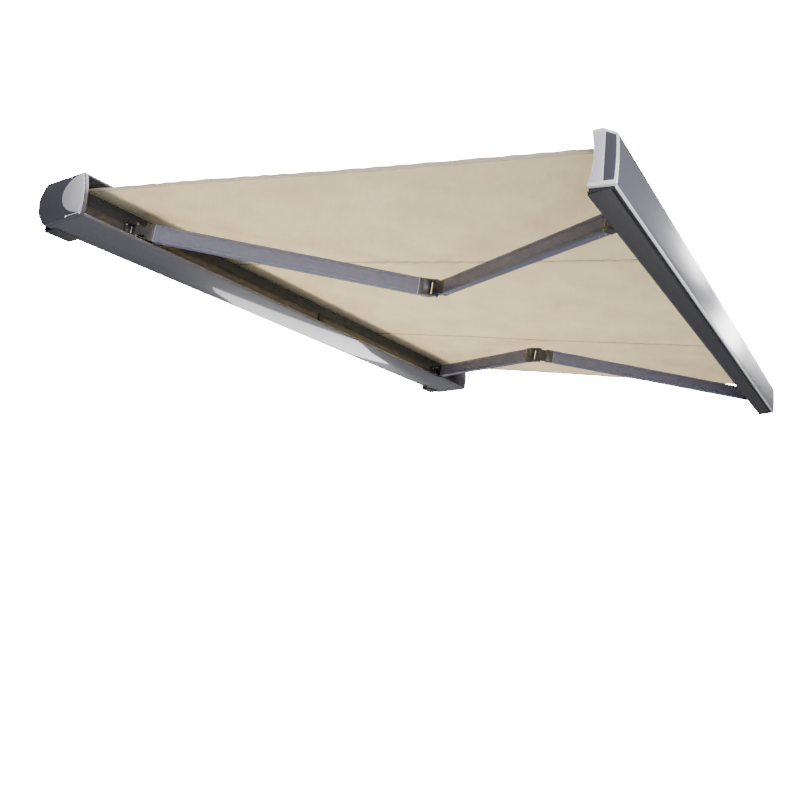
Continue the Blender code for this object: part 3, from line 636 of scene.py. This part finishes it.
def measure(tree, operation, *values):
    """Add one maths node; each value is a number or a socket."""
    made = node(tree, "ShaderNodeMath", {"operation": operation})
    for index, value in enumerate(values):
        if isinstance(value, bpy.types.NodeSocket):
            tree.links.new(value, made.inputs[index])
        else:
            made.inputs[index].default_value = value
    return made.outputs[0]


def near_line(tree, across, place, half_wide):
    """Give 1 close to a line across the cloth and 0 away from it, with a soft edge."""
    distance = measure(tree, "ABSOLUTE", measure(tree, "SUBTRACT", across, place))
    made = node(
        tree, "ShaderNodeMapRange",
        {"From Min": half_wide, "From Max": half_wide * SOFT_EDGE, "To Min": 1.0, "To Max": 0.0},
        {"Value": distance},
    )
    return made.outputs["Result"]


def sewn_canvas(name, light, dark, with_seams):
    """Make woven cloth: thread relief in mm, faint slubs, seams and hems where they are sewn, with
    painted shade over the seams, along their edges and at the hem folds.
    """
    made, tree, shader, where = finish_of(name, light, 0.82, 0.0, Sheen_Weight=0.2, Sheen_Roughness=0.5)
    place = tree.nodes.new("ShaderNodeUVMap").outputs["UV"] if with_seams else where
    axes = node(tree, "ShaderNodeSeparateXYZ", {}, {"Vector": place})
    across, along = axes.outputs["X"], axes.outputs["Y"]
    slub = noise(tree, place, 260.0, 5.0)
    tone = blend(tree, spread(tree, slub, 0.0, 1.0), light, dark)
    turns = 2.0 * math.pi * 1000.0 / THREAD_MM
    warp = measure(tree, "SINE", measure(tree, "MULTIPLY", across, turns))
    weft = measure(tree, "SINE", measure(tree, "MULTIPLY", along, turns))
    weave = measure(tree, "MULTIPLY", warp, weft)
    height = measure(tree, "ADD", measure(tree, "MULTIPLY", weave, 0.12), noise(tree, place, 14.0, 2.0))
    if with_seams:
        centred = measure(tree, "SUBTRACT", noise(tree, place, 55.0, 4.0), 0.5)
        ragged = measure(tree, "MULTIPLY", centred, 0.006)
        wander = measure(tree, "ADD", across, ragged)
        stitches = 2.0 * math.pi * 1000.0 / STITCH_MM
        dash = measure(tree, "SINE", measure(tree, "MULTIPLY", along, stitches))
        stitched = measure(tree, "GREATER_THAN", dash, -0.2)
        for seam in SEAMS:
            # Painted shade: a darker band of the cloth's colour over each seam's double layer.
            seam_shade_band = near_line(tree, across, seam, SEAM_HALF)
            tone = blend(tree, measure(tree, "MULTIPLY", seam_shade_band, 0.35), tone, colour("b9ab92"))
            # Painted shadow: a dark, ragged line along one edge of each seam.
            seam_shadow_line = near_line(tree, wander, seam - SEAM_HALF, 0.0026)
            tone = blend(tree, measure(tree, "MULTIPLY", seam_shadow_line, 0.9), tone, colour("5d5138"))
            for row in (-0.0075, 0.0075):
                line = near_line(tree, across, seam + row, STITCH_HALF)
                thread = measure(tree, "MULTIPLY", line, stitched)
                tone = blend(tree, thread, tone, colour("e9e2d2"))
                height = measure(tree, "ADD", height, thread)
        edge = measure(tree, "ABSOLUTE", across)
        hem = measure(tree, "GREATER_THAN", edge, half_width - HEM)
        tone = blend(tree, measure(tree, "MULTIPLY", hem, 0.55), tone, colour("c9c6bd"))
        # Painted shade: a dark line along the fold of each side hem.
        fold = near_line(tree, edge, half_width - HEM, 0.0010)
        tone = blend(tree, measure(tree, "MULTIPLY", fold, 0.6), tone, colour("8d836c"))
        line = near_line(tree, edge, half_width - HEM + 0.004, STITCH_HALF)
        thread = measure(tree, "MULTIPLY", line, stitched)
        tone = blend(tree, thread, tone, colour("e9e2d2"))
        height = measure(tree, "ADD", height, thread)
    tree.links.new(tone, shader.inputs["Base Color"])
    raise_grain(tree, shader, height, 0.35, 0.5)
    through = node(tree, "ShaderNodeBsdfTranslucent", {}, {"Color": tone})
    both = node(tree, "ShaderNodeMixShader", {0: 0.42}, {1: shader.outputs[0], 2: through.outputs[0]})
    tree.links.new(both.outputs[0], tree.nodes["Material Output"].inputs["Surface"])
    return made


canvas = sewn_canvas("woven_acrylic_canvas", colour("ebe2c8"), colour("e3d8bd"), True)
rolled_canvas = sewn_canvas("rolled_acrylic_canvas", colour("ddd3bd"), colour("d4c9b1"), False)


def pucker(x, s):
    """Give the height of the cloth: slack waves, gathered seams and hems, and pull lines."""
    free = math.sin(math.pi * s / run)
    height = 0.0030 * math.sin(x * 7.0 + 1.4 * math.sin(s * 2.6)) * free
    height += 0.0012 * math.sin(x * 17.0 + s * 3.1) * free
    for seam in SEAMS:
        off = abs(x - seam)
        gather = math.sin(s * 61.0 + seam * 9.0) + 0.6 * math.sin(s * 103.0)
        height += 0.0011 * gather * math.exp(-off / 0.045) * min(1.0, (run - s) / 0.05)
        if off <= SEAM_HALF:
            height -= 0.0006
    inset = half_width - abs(x)
    height += 0.0013 * math.sin(s * 47.0 + 2.0 * math.sin(s * 11.0)) * math.exp(-inset / 0.05)
    if inset <= HEM:
        height -= 0.0006
    return height * min(1.0, s / 0.10, (run - s) / 0.06) - 0.0007


columns = [half_width * (2.0 * i / 130.0 - 1.0) for i in range(131)]
step_lines = (-SEAM_HALF - 0.001, -SEAM_HALF, 0.0, SEAM_HALF, SEAM_HALF + 0.001)
for seam in SEAMS:
    columns += [seam + offset for offset in step_lines]
columns += [sign * (half_width - HEM - offset) for sign in (-1.0, 1.0) for offset in (0.0, 0.001)]
columns = sorted(set(columns))
ROWS = 170
bm = bmesh.new()
chart = bm.loops.layers.uv.new("cloth")
grid = []
for row in range(ROWS + 1):
    s = run * row / ROWS
    line = []
    for x in columns:
        place = back_edge + cloth_way * s + cloth_up * pucker(x, s)
        line.append(bm.verts.new(place + Vector((x, 0.0, 0.0))))
    grid.append(line)
for row in range(ROWS):
    for column in range(len(columns) - 1):
        corners = ((row, column), (row, column + 1), (row + 1, column + 1), (row + 1, column))
        face = bm.faces.new([grid[r][c] for r, c in corners])
        for loop, (r, c) in zip(face.loops, corners):
            loop[chart].uv = (columns[c], run * r / ROWS)
canopy = keep(bm, "canopy_cloth", canvas, "cassette", "cream_canvas", "canopy", sharp=60.0)
thick = canopy.modifiers.new("cloth_thickness", "SOLIDIFY")
thick.thickness = 0.0006
thick.offset = 0.0
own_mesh(canopy)
eased("fabric_roll", rolled_canvas, 0.0003)
